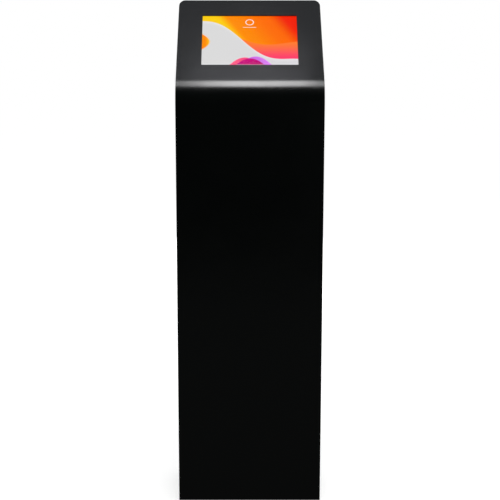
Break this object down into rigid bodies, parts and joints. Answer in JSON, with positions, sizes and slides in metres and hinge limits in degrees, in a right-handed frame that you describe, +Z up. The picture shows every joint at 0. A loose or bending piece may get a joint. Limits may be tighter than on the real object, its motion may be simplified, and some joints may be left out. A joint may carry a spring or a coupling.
{
  "type": "touchscreen kiosk",
  "caption": "Free-standing sheet-steel kiosk column with a rounded bend into a sloping face, a tablet screen behind a window, and a lockable service door at the back.",
  "frame": {"origin": "on the floor, at the centre of the box round the footprint", "axes": "+X to the right of a person who faces the screen, +Y from the front to the service door, +Z up"},
  "size_m": [0.315, 0.2142, 1.1055],
  "materials": {
    "black_powder_coat": "fine-textured satin powder coat",
    "zinc_plated_steel": "bright zinc plate",
    "nickel_plated_brass": "satin nickel plate",
    "black_rubber": "matte moulded rubber",
    "black_foam": "closed-cell foam",
    "black_nylon": "moulded nylon",
    "supply_housing": "spark-eroded moulded housing",
    "red_rocker": "moulded polycarbonate",
    "black_lead": "soft PVC sheath",
    "green_lead": "PVC insulation with a yellow stripe",
    "white_lead": "soft moulded plastic",
    "tablet_aluminium": "bead-blasted and anodised",
    "tablet_glass": "polished cover glass",
    "lit_screen": "lit display showing abstract coloured waves",
    "battery_pouch": "foil pouch"
  },
  "bodies": {
    "cabinet": {"front_panel": "black_powder_coat", "left_side_panel": "black_powder_coat", "right_side_panel": "black_powder_coat", "rear_frame": "black_powder_coat", "door_frame": "black_powder_coat", "base_plate": "black_powder_coat", "front_base_angle": "zinc_plated_steel", "foot_pad_front_left": "black_rubber", "foot_pad_front_right": "black_rubber", "foot_pad_rear_left": "black_rubber", "foot_pad_rear_right": "black_rubber", "floor_grommet": "black_rubber", "panel_studs": "zinc_plated_steel", "panel_nuts": "zinc_plated_steel", "base_screws": "zinc_plated_steel", "rear_frame_screws": "black_powder_coat", "door_seal": "black_foam", "hinge_frame_leaf_lower": "black_powder_coat", "hinge_frame_leaf_middle": "black_powder_coat", "hinge_frame_leaf_upper": "black_powder_coat", "hinge_pin_lower": "zinc_plated_steel", "hinge_pin_middle": "zinc_plated_steel", "hinge_pin_upper": "zinc_plated_steel", "hinge_frame_screws": "zinc_plated_steel", "inlet_body": "black_nylon", "inlet_pins": "nickel_plated_brass", "inlet_boot": "black_nylon", "inlet_screws": "zinc_plated_steel", "power_supply": "supply_housing", "supply_gland": "black_nylon", "mains_lead": "black_lead", "earth_lead": "green_lead", "earth_terminal": "nickel_plated_brass", "usb_lead": "white_lead", "usb_plug_tablet": "white_lead", "usb_plug_supply": "white_lead", "cable_clips": "black_nylon", "tablet_case": "tablet_aluminium", "tablet_glass": "tablet_glass", "tablet_display": "lit_screen", "tablet_battery": "battery_pouch", "window_gasket": "black_foam", "tablet_rear_pads": "black_foam", "tablet_bracket": "zinc_plated_steel", "tablet_corner_guides": "black_foam", "tablet_standoffs": "zinc_plated_steel", "thumb_screws": "zinc_plated_steel"},
    "door": {"rear_door": "black_powder_coat", "hinge_door_leaf_lower": "black_powder_coat", "hinge_door_leaf_middle": "black_powder_coat", "hinge_door_leaf_upper": "black_powder_coat", "hinge_door_screws": "zinc_plated_steel", "lock_barrel": "nickel_plated_brass", "lock_nut": "zinc_plated_steel"},
    "lock": {"lock_plug": "nickel_plated_brass", "lock_cam": "zinc_plated_steel", "lock_cam_screw": "zinc_plated_steel"},
    "mains_switch": {"inlet_rocker": "red_rocker"},
    "power_button": {"tablet_power_button": "tablet_aluminium"},
    "volume_rocker": {"tablet_volume_rocker": "tablet_aluminium"}
  },
  "joints": [
    {"name": "door_swing", "type": "hinge", "parent": "cabinet", "child": "door", "pos_m": [0.104, 0.10311, 0.5775], "axis": [0, 0, -1], "range_deg": [0, 120]},
    {"name": "lock_turn", "type": "hinge", "parent": "door", "child": "lock", "pos_m": [-0.075, 0.09881, 0.5775], "axis": [0, -1, 0], "range_deg": [0, 90]},
    {"name": "mains_switch_tilt", "type": "hinge", "parent": "cabinet", "child": "mains_switch", "pos_m": [0.045, 0.09821, 0.062], "axis": [-1, 0, 0], "range_deg": [0, 14]},
    {"name": "power_button_press", "type": "slide", "parent": "cabinet", "child": "power_button", "axis": [0, -0.7373, -0.6756], "range_m": [0, 0.0003], "stiffness_N_per_m": 500},
    {"name": "volume_rocker_tilt", "type": "hinge", "parent": "cabinet", "child": "volume_rocker", "pos_m": [-0.06, 0.07475, 1.07245], "axis": [0, -0.6756, 0.7373], "range_deg": [-2.5, 2.5], "stiffness_Nm_per_rad": 0.05}
  ]
}
